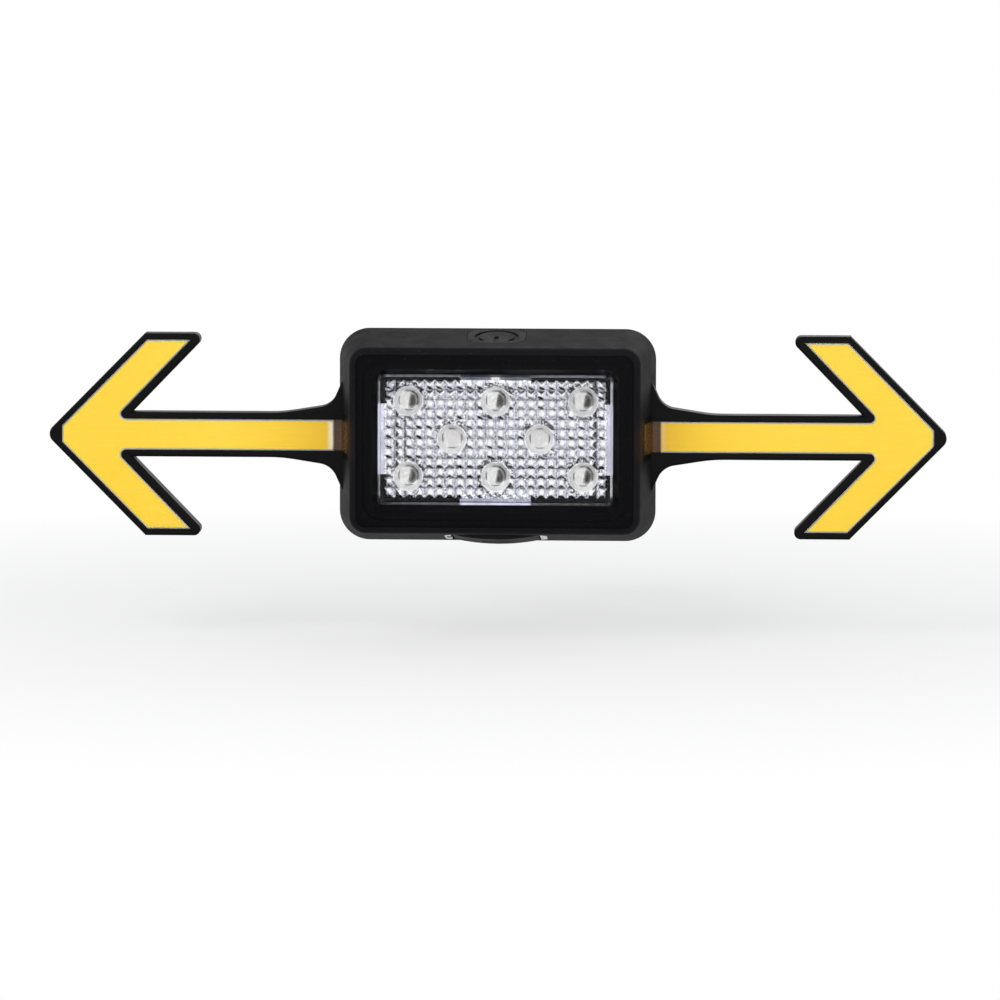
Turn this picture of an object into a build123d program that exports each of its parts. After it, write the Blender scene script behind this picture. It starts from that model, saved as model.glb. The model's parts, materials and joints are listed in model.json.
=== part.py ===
from build123d import *
from math import atan2, cos, degrees, radians, sin, tan
import os

# A bicycle signal lamp that clamps to a seat post: a drafted housing with a framed lens, and an
# amber arrow on each side. Lengths are in millimetres. +X is the lamp's width, +Z is up, and the
# lamp shines along -Y. The origin is on the seat post's axis, in the middle of the clamp's height.
# Depths inside the lamp are measured from the housing's front rim, towards the post.

# Clearances
fit = 0.05  # between pieces that are pushed together
gap = 0.25  # between pieces that move past each other
overshoot = 2.0  # how far a cut runs past the faces that it opens

# Housing
housing_width = 60.2
housing_height = 40.5
housing_depth = 15.0
corner_radius = 5.8
draft_inset = 2.9  # how far each side draws in from the parting face to the rim
wall = 2.1
rim_land = 1.0  # from the housing's side to the recess inside its rim
rim_round = 1.8
front_panel_back = 3.8
rear_cover_depth = 5.5
rear_cover_wall = 1.8
rear_inset = 2.0  # how far the rear cover draws in from the parting face to its back
rear_round = 1.5
cover_lip_height = 1.2
cover_lip_width = 1.1

# Bezel and lens
bezel_recess = 0.9
bezel_flange_thickness = 1.7
ledge_width = 1.2  # the flat step inside the rim
ledge_drop = 0.5  # from this step to the next
funnel_width = 1.1  # the slope from the second step down to the lens
throat_wall = 1.1
lens_border = 4.0  # from the recess inside the rim to the lens
lens_corner = 1.0
lens_depth = 3.3  # of the lens's front face behind the rim
lens_proud = 1.3  # the raised part, in front of the flange
lens_flange = 0.8
lens_flange_reach = 1.0
lens_bevel = 0.45
seal_thickness = 0.5

# Reflector
panel_border = 1.1  # from the lens's edge to the panel
panel_corner = 0.8
facet_pitch = 1.9
facet_height = 0.55
reflector_base = 0.8
cup_side_margin = 4.55  # from the panel's edges to the middle of the nearest cups
cup_top_margin = 4.1
cup_mouth_radius = 2.85
cup_throat_radius = 1.95
cup_wall = 0.5
tab_width = 13.4
tab_thickness = 1.0

# Light-emitting diodes and their board
led_radius = 1.7
led_collar_height = 0.7
led_base_side = 3.4
led_base_height = 0.8
board_front = 9.0  # depth behind the rim
board_thickness = 1.0
board_margin = 0.5  # between the board's edge and the cavity's wall
post_radius = 1.5
post_inset = 8.2  # from the lens's side in to the board's posts
board_screw_radius = 0.8
board_screw_length = 3.5
board_screw_head_radius = 1.4
board_screw_head_height = 0.9
side_led_width = 1.8
side_led_length = 2.8
side_led_height = 1.6

# Parts soldered to the board's back
controller_width = 6.0
controller_height = 5.0
controller_thickness = 1.6
charger_side = 4.0
charger_thickness = 1.2
inductor_side = 4.5
inductor_thickness = 2.2
capacitor_width = 1.6
capacitor_height = 3.2
capacitor_thickness = 1.2
capacitor_pitch = 3.0
part_spacing = 1.5  # between these parts
receiver_width = 11.0
receiver_height = 8.0
receiver_thickness = 0.8
receiver_chip_side = 4.0
receiver_crystal_width = 2.0
receiver_crystal_height = 5.0
receiver_part_thickness = 1.0

# Arrows
arrow_reach = 85.2  # from the lamp's middle to an arrow's tip
head_margin = 0.95  # from the arrow heads' ends in to the level of the housing's top and bottom
head_angle = 45.4  # between the arrow's axis and its outer edge
tip_round = 1.9
barb_width = 12.1
barb_round = 1.2
notch_setback = 16.6  # from the sharp tip to the notch beside the shaft
shaft_width = 8.5
arm_thickness = 4.2
arm_round = 0.5
guide_tip_width = 3.1
guide_edge_border = 1.15
guide_end_border = 1.25
guide_barb_width = 8.3
guide_notch_setback = 13.2
guide_notch_round = 0.9
guide_width = 5.9
guide_recess = 0.3  # the guide's face sits below the frame's edge
guide_bevel = 0.3
guide_floor = 1.4
guide_step_reach = 1.1  # the step down beside the housing
guide_step_depth = 1.0
flare_length = 10.7
flare_start_width = 11.5
flare_corner = 1.35  # from the housing's side to the corner that the flare rounds
flare_foot_width = 22.8  # where the flare's edge runs into the housing's side
flare_foot_inset = 1.1
flare_round = 4.0
flare_blend = 30.0
root_front = 5.0  # depth of the front end of the guide's block in the housing's side
root_clearance = 1.1  # from the bezel's throat out to the guide's inner face
plug_wall = 1.1  # black wall beside the guide's block
root_flange = 1.4

# Power button
button_depth = 9.4  # of its middle behind the rim
button_width = 11.0
button_length = 8.9
button_corner = 2.6
button_travel = 0.4
button_fit = 0.1  # all round, where it slides in the housing
button_flange_reach = 0.5
button_flange_bottom = 5.0  # below the housing's top
button_stem_radius = 1.3
symbol_radius = 3.75
symbol_line = 0.85
symbol_engraving = 0.3
symbol_opening = 40.0  # half of the angle left open in the ring
switch_width = 6.0
switch_height = 3.4
switch_thickness = 3.2
switch_plunger_width = 2.2
switch_plunger_thickness = 1.4
switch_plunger_proud = 1.0

# Charge port
port_depth = 8.7  # of its middle behind the rim
port_width = 19.4
port_length = 10.4
port_corner = 2.0
port_recess = 1.0  # the seat of the cover below the housing's face
surround_plate = 0.6
surround_proud = 0.3  # how far the surround's boss stands inside the wall
surround_boss_width = 11.4
surround_boss_length = 4.7
plug_opening_width = 9.2
plug_opening_length = 3.9
cover_width = 16.3
cover_length = 10.0
cover_crown = 0.8
cover_plug_height = 0.9
strap_width = 2.6
grip_length = 5.0
grip_width = 0.5
grip_depth = 0.3
grip_pitch = 1.3
socket_width = 7.5
socket_thickness = 2.7
socket_length = 5.4
socket_shell = 0.3
tongue_plate_width = 3.6
tongue_plate_thickness = 0.6

# Battery
battery_side_space = 13.1  # from the housing's side to the battery
battery_top_space = 9.25
battery_thickness = 4.2
battery_front = 13.7  # depth behind the rim
battery_round = 1.6
lead_diameter = 1.1
lead_spacing = 1.6
lead_bend = 1.4
lead_drop = 4.0  # from the battery's top to its leads
lead_reach = 3.0
plug_width = 4.2
plug_height = 4.4
plug_thickness = 3.0

# Fasteners and seal of the rear cover
cover_screw_radius = 1.0
cover_screw_length = 9.0
cover_screw_head_radius = 1.85
cover_screw_head_height = 1.2
counterbore_depth = 1.6
cross_length = 2.2
cross_width = 0.6
cross_depth = 0.7
boss_radius = 1.9
cover_seal_width = 0.8
cover_seal_height = 0.5
cover_seal_inset = 0.65

# Bracket and clamp
post_diameter = 27.2
liner_thickness = 1.5
liner_lip = 0.8
liner_lip_reach = 1.2
ring_wall = 3.0
ring_height = 14.0
clamp_slit = 3.0
ear_thickness = 5.0
ear_length = 11.0
ear_round = 3.5
neck_length = 2.4
neck_width = 14.0
tongue_width = 20.0
tongue_height = 20.0
tongue_thickness = 2.4
tongue_corner = 2.0
tongue_chamfer = 0.5
rail_wall = 2.2
rail_lip = 1.8
rail_round = 1.2
clamp_screw_diameter = 4.0
clamp_screw_length = 16.0
clamp_screw_setback = 4.6  # from the ears' ends to the screw
screw_clearance = 0.2  # around the screw in the ears
screw_head_radius = 3.5
screw_head_height = 4.0
hex_key = 3.0
hex_key_depth = 2.2
washer_radius = 4.5
washer_thickness = 0.8
nut_width = 7.0
nut_thickness = 3.0

# Places ahead of the seat post's axis
liner_outer = post_diameter / 2 + liner_thickness
ring_inner = liner_outer + fit
ring_outer = ring_inner + ring_wall
tongue_back = ring_outer + neck_length
tongue_front = tongue_back + tongue_thickness
cover_back = tongue_front + gap
rail_back = tongue_back - gap - rail_lip
parting = cover_back + rear_cover_depth
rim = parting + housing_depth
ear_outer = clamp_slit / 2 + ear_thickness
ear_end = ring_outer + ear_length
screw_y = ear_end - clamp_screw_setback

# Depths behind the rim and sizes that follow from them
slope = draft_inset / housing_depth
draft_angle = degrees(atan2(draft_inset, housing_depth))
rear_draft_angle = degrees(atan2(rear_inset, rear_cover_depth))
flange_back = bezel_recess + bezel_flange_thickness
rim_width = housing_width - 2 * (draft_inset + rim_land)
rim_height = housing_height - 2 * (draft_inset + rim_land)
rim_corner = corner_radius - draft_inset - rim_land
lens_width = rim_width - 2 * lens_border
lens_height = rim_height - 2 * lens_border
panel_width = lens_width - 2 * panel_border
panel_height = lens_height - 2 * panel_border
facet_columns = round(panel_width / facet_pitch)
facet_rows = round(panel_height / facet_pitch)
cup_pitch = panel_width / 2 - cup_side_margin
cup_row_pitch = panel_height / 2 - cup_top_margin
lens_step = lens_depth + lens_proud
lens_back = lens_step + lens_flange
bezel_back = lens_step - seal_thickness
throat_width = lens_width + 2 * (fit + throat_wall)
throat_height = lens_height + 2 * (fit + throat_wall)
throat_corner = lens_corner + fit + throat_wall
facet_peak = lens_back + gap
facet_root = facet_peak + facet_height
reflector_back = facet_root + reflector_base
board_back = board_front + board_thickness
led_base_front = board_front - led_base_height
guide_back = housing_depth - guide_floor
arm_front = housing_depth - arm_thickness
root_inner = throat_width / 2 + root_clearance
plug_half = guide_width / 2 + plug_wall
slot_front = root_front - plug_wall
boss_x = housing_width / 2 - corner_radius
boss_z = housing_height / 2 - corner_radius
post_x = lens_width / 2 - post_inset
post_z = lens_height / 2 + lens_flange_reach + post_radius + gap
battery_width = housing_width - 2 * battery_side_space
battery_height = housing_height - 2 * battery_top_space
lead_height = battery_height / 2 - lead_drop
button_y = button_depth - rim
button_base = housing_height / 2 - button_flange_bottom
plunger_top = button_base - button_travel
switch_top = plunger_top - switch_plunger_proud
switch_plunger_length = switch_plunger_proud + 2 * button_travel + gap
plunger_y = board_back + switch_thickness / 2 - rim
socket_centre = board_back + socket_thickness / 2
cover_inside_back = housing_depth + rear_cover_depth - rear_cover_wall
sharp_tip = arrow_reach + tip_round * (1 / sin(radians(head_angle)) - 1)


def half_size(size, depth):
    """Half of the housing's outer width or height at a depth behind the rim."""
    return size / 2 - draft_inset + slope * depth


def at_depth(depth):
    """The plane at a depth behind the rim, facing the way that the lamp shines."""
    return Plane.XZ.offset(rim - depth)


def facing_post(ahead):
    """The plane at a distance ahead of the post's axis, facing the post."""
    return Plane.back.offset(-ahead)


def lamp_form(inset, front):
    """The drafted form from the parting face to a depth behind the rim, drawn in by an inset."""
    with BuildPart() as form:
        with BuildSketch(at_depth(housing_depth)):
            RectangleRounded(
                housing_width - 2 * inset, housing_height - 2 * inset, corner_radius - inset
            )
        extrude(amount=housing_depth - front, taper=draft_angle)
    return form.part


def seal_ring(clearance):
    """The ring of the rear cover's seal, which lies in the parting face."""
    outer = cover_seal_inset + clearance
    inner = cover_seal_inset + cover_seal_width - clearance
    with BuildPart() as ring:
        with BuildSketch(at_depth(housing_depth)):
            RectangleRounded(
                housing_width - 2 * outer, housing_height - 2 * outer, corner_radius - outer
            )
            RectangleRounded(
                housing_width - 2 * inner,
                housing_height - 2 * inner,
                corner_radius - inner,
                mode=Mode.SUBTRACT,
            )
        extrude(amount=cover_seal_height)
    return ring.part


# The charge port is drawn on the drafted face under the housing, with its y towards the rim
port_plane = Plane(
    origin=(0, port_depth - rim, -half_size(housing_height, port_depth)),
    x_dir=(1, 0, 0),
    z_dir=(0, -sin(radians(draft_angle)), -cos(radians(draft_angle))),
)
opening_y = (port_depth - socket_centre) / cos(radians(draft_angle))
port_floor = port_recess + surround_plate
boss_end = wall + surround_proud
socket_mouth_z = boss_end + gap - half_size(housing_height, board_back)
cover_seat = fit  # under the cover's edge
hinge_x = -(cover_width - port_recess + cover_seat) / 2
cover_end_gap = gap + fit
trough_half = cover_width / 2 + cover_end_gap
strap_length = (port_width / 2 - trough_half) * 2 / 3
strap_x = -trough_half - strap_length / 2


# Front housing: a drafted shell with a front panel, side slots for the arrows, a hole for the
# power button and a stepped window for the charge port
with BuildPart() as front_housing:
    add(lamp_form(0, 0))
    fillet(front_housing.faces().sort_by(Axis.Y)[0].edges(), rim_round)
    with BuildSketch(at_depth(flange_back)):
        RectangleRounded(rim_width, rim_height, rim_corner)
    extrude(amount=flange_back, mode=Mode.SUBTRACT)
    with BuildSketch(at_depth(front_panel_back)):
        RectangleRounded(throat_width + 2 * fit, throat_height + 2 * fit, throat_corner + fit)
    extrude(amount=front_panel_back, mode=Mode.SUBTRACT)
    add(lamp_form(wall, front_panel_back), mode=Mode.SUBTRACT)
    with BuildSketch(at_depth(housing_depth)):
        with GridLocations(2 * boss_x, 2 * boss_z, 2, 2):
            Circle(boss_radius)
    extrude(amount=housing_depth - front_panel_back)
    with BuildSketch(at_depth(board_front)):
        with GridLocations(2 * post_x, 2 * post_z, 2, 2):
            Circle(post_radius)
    extrude(amount=board_front - front_panel_back)
    with BuildSketch(at_depth(housing_depth)):
        with GridLocations(2 * boss_x, 2 * boss_z, 2, 2):
            Circle(cover_screw_radius + fit)
    extrude(amount=cover_screw_length - rear_cover_depth + counterbore_depth + gap, mode=Mode.SUBTRACT)
    with BuildSketch(at_depth(board_front)):
        with GridLocations(2 * post_x, 2 * post_z, 2, 2):
            Circle(board_screw_radius + fit)
    extrude(amount=board_screw_length - board_thickness + gap, mode=Mode.SUBTRACT)
    with BuildSketch(Plane.YZ):
        with Locations(((slot_front + housing_depth) / 2 - rim, 0)):
            Rectangle(housing_depth - slot_front, 2 * (plug_half + fit))
    extrude(amount=housing_width / 2, both=True, mode=Mode.SUBTRACT)
    with BuildSketch(Plane.XY.offset(button_base)):
        with Locations((0, button_y)):
            RectangleRounded(
                button_width + 2 * button_fit,
                button_length + 2 * button_fit,
                button_corner + button_fit,
            )
    extrude(amount=button_flange_bottom, mode=Mode.SUBTRACT)
    with BuildSketch(port_plane.offset(-port_floor)):
        RectangleRounded(port_width + 2 * fit, port_length + 2 * fit, port_corner + fit)
    extrude(amount=port_floor + overshoot, mode=Mode.SUBTRACT)
    with BuildSketch(port_plane.offset(-boss_end - overshoot)):
        with Locations((0, opening_y)):
            Rectangle(surround_boss_width + 2 * fit, surround_boss_length + 2 * fit)
    extrude(amount=boss_end + overshoot, mode=Mode.SUBTRACT)
    add(seal_ring(0), mode=Mode.SUBTRACT)

# Bezel: a flange in the rim's recess with two flat steps, then a slope down to the lens
window_width = lens_width + 2 * fit
window_height = lens_height + 2 * fit
funnel_front = bezel_recess + ledge_drop
ledge_inset = lens_border - fit - ledge_width
funnel_angle = degrees(atan2(funnel_width, lens_depth - funnel_front))
with BuildPart() as inner_bezel:
    with BuildSketch(at_depth(flange_back)):
        RectangleRounded(rim_width - 2 * fit, rim_height - 2 * fit, rim_corner - fit)
    extrude(amount=bezel_flange_thickness)
    with BuildSketch(at_depth(bezel_back)):
        RectangleRounded(throat_width, throat_height, throat_corner)
    extrude(amount=bezel_back - flange_back)
    with BuildSketch(at_depth(bezel_back)):
        RectangleRounded(window_width, window_height, lens_corner + fit)
    extrude(amount=bezel_back, mode=Mode.SUBTRACT)
    with BuildSketch(at_depth(lens_depth)):
        RectangleRounded(window_width, window_height, lens_corner + fit)
    extrude(amount=lens_depth - funnel_front, taper=-funnel_angle, mode=Mode.SUBTRACT)
    with BuildSketch(at_depth(funnel_front)):
        RectangleRounded(
            window_width + 2 * ledge_inset,
            window_height + 2 * ledge_inset,
            lens_corner + fit + ledge_inset,
        )
    extrude(amount=funnel_front, mode=Mode.SUBTRACT)

# Lens: a raised plate with a bevelled edge, on a thinner flange
with BuildPart() as lens:
    with BuildSketch(at_depth(lens_step)):
        RectangleRounded(lens_width, lens_height, lens_corner)
    extrude(amount=lens_proud)
    chamfer(lens.faces().sort_by(Axis.Y)[0].edges(), lens_bevel)
    with BuildSketch(at_depth(lens_back)):
        RectangleRounded(
            lens_width + 2 * lens_flange_reach,
            lens_height + 2 * lens_flange_reach,
            lens_corner + lens_flange_reach,
        )
    extrude(amount=lens_flange)

# Lens seal: a flat rubber frame between the bezel's throat and the lens's flange
with BuildPart() as lens_seal:
    with BuildSketch(at_depth(lens_step)):
        RectangleRounded(
            lens_width + 2 * lens_flange_reach,
            lens_height + 2 * lens_flange_reach,
            lens_corner + lens_flange_reach,
        )
        RectangleRounded(window_width, window_height, lens_corner + fit, mode=Mode.SUBTRACT)
    extrude(amount=seal_thickness)

# The lamps stand in three rows of three, two and three, a half pitch apart
cup_places = [(x * cup_pitch, z * cup_row_pitch) for z in (-1, 1) for x in (-1, 0, 1)]
cup_places += [(-cup_pitch / 2, 0), (cup_pitch / 2, 0)]


def facet_cutter(length, count, peak):
    """A sawtooth sheet outline, in front of the facets along a length: x along it, y behind."""
    pitch = length / count
    teeth = [(-length / 2, -facet_root)]
    for tooth in range(count):
        start = -length / 2 + tooth * pitch
        teeth += [(start + pitch / 2, -peak), (start + pitch, -facet_root)]
    return teeth + [(length / 2 + overshoot, -facet_root), (length / 2 + overshoot, 0)] + [
        (-length / 2 - overshoot, 0),
        (-length / 2 - overshoot, -facet_root),
    ]


# Reflector: a plate cut into pyramids by two crossed rows of grooves, with a cup for each lamp
# and four legs that hold it between the lens and the board
with BuildPart() as reflector:
    with BuildSketch(at_depth(reflector_back)):
        RectangleRounded(panel_width, panel_height, panel_corner)
    extrude(amount=reflector_back - facet_peak)
    with BuildSketch(Plane((0, -rim, 0), x_dir=(1, 0, 0), z_dir=(0, 0, -1))):
        with BuildLine():
            Polyline(*facet_cutter(panel_width, facet_columns, facet_peak), close=True)
        make_face()
    extrude(amount=panel_height, both=True, mode=Mode.SUBTRACT)
    with BuildSketch(Plane((0, -rim, 0), x_dir=(0, 0, 1), z_dir=(1, 0, 0))):
        with BuildLine():
            Polyline(*facet_cutter(panel_height, facet_rows, facet_peak - fit), close=True)
        make_face()
    extrude(amount=panel_width, both=True, mode=Mode.SUBTRACT)
    cup_back = led_base_front - fit
    cup_angle = degrees(atan2(cup_mouth_radius - cup_throat_radius, cup_back - facet_peak))
    with BuildSketch(at_depth(cup_back)):
        with Locations(*cup_places):
            Circle(cup_throat_radius + cup_wall)
    extrude(amount=cup_back - facet_root, taper=-cup_angle)
    with BuildSketch(at_depth(cup_back)):
        with Locations(*cup_places):
            Circle(cup_throat_radius)
    extrude(amount=cup_back - facet_peak, taper=-cup_angle, mode=Mode.SUBTRACT)
    tab_overlap = tab_thickness / 2
    tab_reach = lens_height / 2 + lens_bevel / 2 - panel_height / 2
    with BuildSketch(at_depth(board_front)):
        with GridLocations(0, panel_height + tab_reach - tab_overlap, 1, 2):
            Rectangle(tab_width, tab_reach + tab_overlap)
        with GridLocations(panel_width + tab_reach - tab_overlap, 0, 2, 1):
            Rectangle(tab_reach + tab_overlap, tab_width)
    extrude(amount=board_front - lens_back - fit)

# Each lamp is a clear dome on a white base
with BuildPart() as led_domes:
    with BuildSketch(at_depth(led_base_front)):
        with Locations(*cup_places):
            Circle(led_radius)
    extrude(amount=led_collar_height)
    dome_y = led_base_front - led_collar_height - rim
    with Locations(*[(x, dome_y, z) for x, z in cup_places]):
        Sphere(led_radius, rotation=(90, 0, 0), arc_size1=0, align=None)

with BuildPart() as led_bases:
    with BuildSketch(at_depth(board_front)):
        with Locations(*cup_places):
            Rectangle(led_base_side, led_base_side)
    extrude(amount=led_base_height)

# Board for the lamps: cut away at the corners for the cover's bosses, at the sides for the
# arrows' roots and at the top for the power button
board_half_width = half_size(housing_width, board_front) - wall - board_margin
board_half_height = half_size(housing_height, board_front) - wall - board_margin
root_half = plug_half + root_flange
corner_cut_x = boss_x - boss_radius - board_margin
corner_cut_z = boss_z - boss_radius - board_margin
button_cut = button_width / 2 + button_flange_reach + board_margin
button_cut_z = button_base - button_travel - board_margin
with BuildPart() as led_board:
    with BuildSketch(at_depth(board_back)):
        Rectangle(2 * board_half_width, 2 * board_half_height)
        with GridLocations(board_half_width + corner_cut_x, board_half_height + corner_cut_z, 2, 2):
            Rectangle(
                board_half_width - corner_cut_x,
                board_half_height - corner_cut_z,
                mode=Mode.SUBTRACT,
            )
        notch_inner = root_inner - gap
        with GridLocations(board_half_width + notch_inner, 0, 2, 1):
            Rectangle(board_half_width - notch_inner, 2 * (root_half + gap), mode=Mode.SUBTRACT)
        with Locations((0, (board_half_height + button_cut_z) / 2)):
            Rectangle(2 * button_cut, board_half_height - button_cut_z, mode=Mode.SUBTRACT)
        with GridLocations(2 * post_x, 2 * post_z, 2, 2):
            Circle(board_screw_radius + fit, mode=Mode.SUBTRACT)
    extrude(amount=board_thickness)

with BuildPart() as board_screws:
    with BuildSketch(at_depth(board_back)):
        with GridLocations(2 * post_x, 2 * post_z, 2, 2):
            Circle(board_screw_radius)
    extrude(amount=board_screw_length)
    with BuildSketch(at_depth(board_back)):
        with GridLocations(2 * post_x, 2 * post_z, 2, 2):
            Circle(board_screw_head_radius)
    extrude(amount=-board_screw_head_height)

# Parts soldered to the board's back: x, z, width, height and thickness
low_z = -(post_z - post_radius - charger_side)
middle_z = low_z + inductor_side / 2 + part_spacing + capacitor_height / 2
controller = (0, 0, controller_width, controller_height, controller_thickness)
charger = (-(post_x - charger_side), low_z, charger_side, charger_side, charger_thickness)
inductor = (post_x - inductor_side, low_z, inductor_side, inductor_side, inductor_thickness)
capacitors = [
    (post_x - step * capacitor_pitch, middle_z, capacitor_width, capacitor_height, capacitor_thickness)
    for step in range(3)
]
with BuildPart() as board_components:
    for x, z, width, height, thickness in [controller, charger, inductor] + capacitors:
        with BuildSketch(at_depth(board_back)):
            with Locations((x, z)):
                Rectangle(width, height)
        extrude(amount=-thickness)

# Receiver for the remote switch: a small board with its chip and crystal
receiver_z = controller_height / 2 + part_spacing
with BuildPart() as receiver_module:
    with BuildSketch(at_depth(board_back)):
        with Locations((-post_x, receiver_z)):
            Rectangle(receiver_width, receiver_height)
    extrude(amount=-receiver_thickness)
    with BuildSketch(at_depth(board_back + receiver_thickness)):
        with Locations((-post_x - receiver_chip_side / 2, receiver_z)):
            Rectangle(receiver_chip_side, receiver_chip_side)
        with Locations((-post_x + receiver_chip_side / 2 + receiver_crystal_width / 2, receiver_z)):
            SlotOverall(receiver_crystal_height, receiver_crystal_width, rotation=90)
    extrude(amount=-receiver_part_thickness)

with BuildPart() as side_leds:
    with BuildSketch(at_depth(board_back)):
        with GridLocations(2 * (root_inner - gap - board_margin) - side_led_width, 0, 2, 1):
            Rectangle(side_led_width, side_led_length)
    extrude(amount=-side_led_height)


def mirrored_outline(corners, tip=()):
    """A closed outline about the X axis from its upper corners, each an x, a height and a round."""
    lower = [(x, -z, radius) for x, z, radius in reversed(corners)]
    outline = list(corners) + list(tip) + lower
    return FilletPolyline(
        [(x, z) for x, z, radius in outline], radius=[radius for x, z, radius in outline], close=True
    )


# The arrow on the lamp's right, as outlines in x and height: the frame's and the guide's
head_half_height = housing_height / 2 - head_margin
edge_slope = tan(radians(head_angle))
barb_x = sharp_tip - head_half_height / edge_slope
frame_corners = [
    (root_inner, flare_foot_width / 2, 0),
    (housing_width / 2 - flare_foot_inset, flare_foot_width / 2, 0),
    (housing_width / 2 + flare_corner, flare_start_width / 2, flare_round),
    (housing_width / 2 + flare_length, shaft_width / 2, flare_blend),
    (sharp_tip - notch_setback, shaft_width / 2, 0),
    (barb_x - barb_width, head_half_height, barb_round),
    (barb_x, head_half_height, 0),
]
guide_sharp = sharp_tip - guide_edge_border / sin(radians(head_angle))
guide_end = head_half_height - guide_end_border
guide_barb_x = guide_sharp - guide_end / edge_slope


def guide_corners(grow):
    """The guide's upper corners, moved outwards by a clearance."""
    tip_half = guide_tip_width / 2
    return [
        (root_inner - grow, guide_width / 2 + grow, 0),
        (sharp_tip - guide_notch_setback - grow, guide_width / 2 + grow, guide_notch_round),
        (guide_barb_x - guide_barb_width - 1.5 * grow, guide_end + grow, 0),
        (guide_barb_x + grow / 2, guide_end + grow, 0),
        (guide_sharp - tip_half / edge_slope + grow, tip_half + grow / 2, 0),
    ]


def root_block(front, half_height, outer_depth):
    """A block from the guide's inner face out past the housing's side."""
    with BuildPart() as block:
        with BuildSketch(at_depth(outer_depth)):
            with Locations(((root_inner + housing_width / 2 + overshoot) / 2, 0)):
                Rectangle(housing_width / 2 + overshoot - root_inner, 2 * half_height)
        extrude(amount=outer_depth - front)
    return block.part


# Arrow guide: an amber plate whose root swells into a block that ends flush in the housing's side
with BuildPart() as guide_root:
    add(root_block(root_front, guide_width / 2, guide_back))
    add(lamp_form(0, 0), mode=Mode.INTERSECT)

with BuildPart() as guide_step:
    with BuildSketch(at_depth(arm_front + guide_recess + guide_step_depth)):
        with Locations(((boss_x + housing_width / 2 + guide_step_reach) / 2, 0)):
            Rectangle(housing_width / 2 + guide_step_reach - boss_x, 2 * guide_width)
    extrude(amount=guide_step_depth + overshoot)
    add(lamp_form(0, 0), mode=Mode.SUBTRACT)

with BuildPart() as right_arrow_guide:
    with BuildSketch(at_depth(guide_back)):
        with BuildLine():
            mirrored_outline(guide_corners(0))
        make_face()
    extrude(amount=guide_back - arm_front - guide_recess)
    chamfer(right_arrow_guide.faces().sort_by(Axis.Y)[0].edges(), guide_bevel)
    add(guide_step.part, mode=Mode.SUBTRACT)
    add(guide_root.part)

# Arrow frame: a black tray round the guide, flared where it meets the housing, with a plug that
# fills the slot in the housing's side and a flange behind the wall
with BuildPart() as frame_plug:
    add(root_block(slot_front + fit, plug_half, housing_depth))
    add(lamp_form(0, 0), mode=Mode.INTERSECT)
    with BuildSketch(at_depth(housing_depth)):
        RectangleRounded(housing_width - 2 * wall, housing_height - 2 * wall, corner_radius - wall)
    extrude(amount=guide_floor, mode=Mode.SUBTRACT)

with BuildPart() as frame_flange:
    add(root_block(root_front, root_half, guide_back))
    add(lamp_form(wall + fit, front_panel_back), mode=Mode.INTERSECT)

with BuildPart() as right_arrow_frame:
    with BuildSketch(at_depth(housing_depth)):
        with BuildLine():
            mirrored_outline(frame_corners, tip=[(sharp_tip, 0, tip_round)])
        make_face()
    extrude(amount=arm_thickness)
    fillet(right_arrow_frame.faces().sort_by(Axis.Y)[0].edges(), arm_round)
    add(lamp_form(0, 0), mode=Mode.SUBTRACT)
    add(frame_plug.part)
    add(frame_flange.part)
    with BuildSketch(at_depth(guide_back)):
        with BuildLine():
            mirrored_outline(guide_corners(fit))
        make_face()
    extrude(amount=guide_back - arm_front, mode=Mode.SUBTRACT)
    add(root_block(root_front - fit, guide_width / 2 + fit, guide_back), mode=Mode.SUBTRACT)
    add(seal_ring(0), mode=Mode.SUBTRACT)

with BuildPart() as left_arrow_guide:
    mirror(right_arrow_guide.part, about=Plane.YZ)

with BuildPart() as left_arrow_frame:
    mirror(right_arrow_frame.part, about=Plane.YZ)

# Power button: a pad that ends flush with the housing, on a flange that stops it from inside
with BuildPart() as button_pad:
    with BuildSketch(Plane.XY.offset(button_base)):
        with Locations((0, button_y)):
            RectangleRounded(button_width, button_length, button_corner)
    extrude(amount=button_flange_bottom)
    add(lamp_form(0, 0), mode=Mode.INTERSECT)

# Its symbol is a ring that is open towards the rim, with a bar through the opening
symbol_inner = symbol_radius - symbol_line / 2
symbol_outer = symbol_radius + symbol_line / 2
with BuildPart() as button_symbol:
    with BuildSketch(Plane.XY.offset(button_base)):
        with Locations((0, button_y)):
            Circle(symbol_outer)
            Circle(symbol_inner, mode=Mode.SUBTRACT)
            opening_side = symbol_outer * tan(radians(symbol_opening))
            Polygon(
                (0, 0),
                (-opening_side, -symbol_outer),
                (opening_side, -symbol_outer),
                align=None,
                mode=Mode.SUBTRACT,
            )
        with Locations((0, button_y - symbol_outer / 2)):
            Rectangle(symbol_line, symbol_outer)
    extrude(amount=button_flange_bottom)
    add(lamp_form(symbol_engraving, 0), mode=Mode.SUBTRACT)

with BuildPart() as power_button:
    with BuildSketch(Plane.XY.offset(button_base)):
        with Locations((0, button_y)):
            RectangleRounded(
                button_width + 2 * button_flange_reach,
                button_length + 2 * button_flange_reach,
                button_corner + button_flange_reach,
            )
    extrude(amount=button_flange_bottom)
    add(lamp_form(wall + gap, front_panel_back + gap), mode=Mode.INTERSECT)
    add(button_pad.part)
    add(button_symbol.part, mode=Mode.SUBTRACT)
    with BuildSketch(Plane.XY.offset(plunger_top)):
        with Locations((0, plunger_y)):
            Circle(button_stem_radius)
    extrude(amount=button_base - plunger_top)

with BuildPart() as switch_plunger:
    with BuildSketch(Plane.XY.offset(plunger_top - switch_plunger_length)):
        with Locations((0, plunger_y)):
            Rectangle(switch_plunger_width, switch_plunger_thickness)
    extrude(amount=switch_plunger_length)

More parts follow.
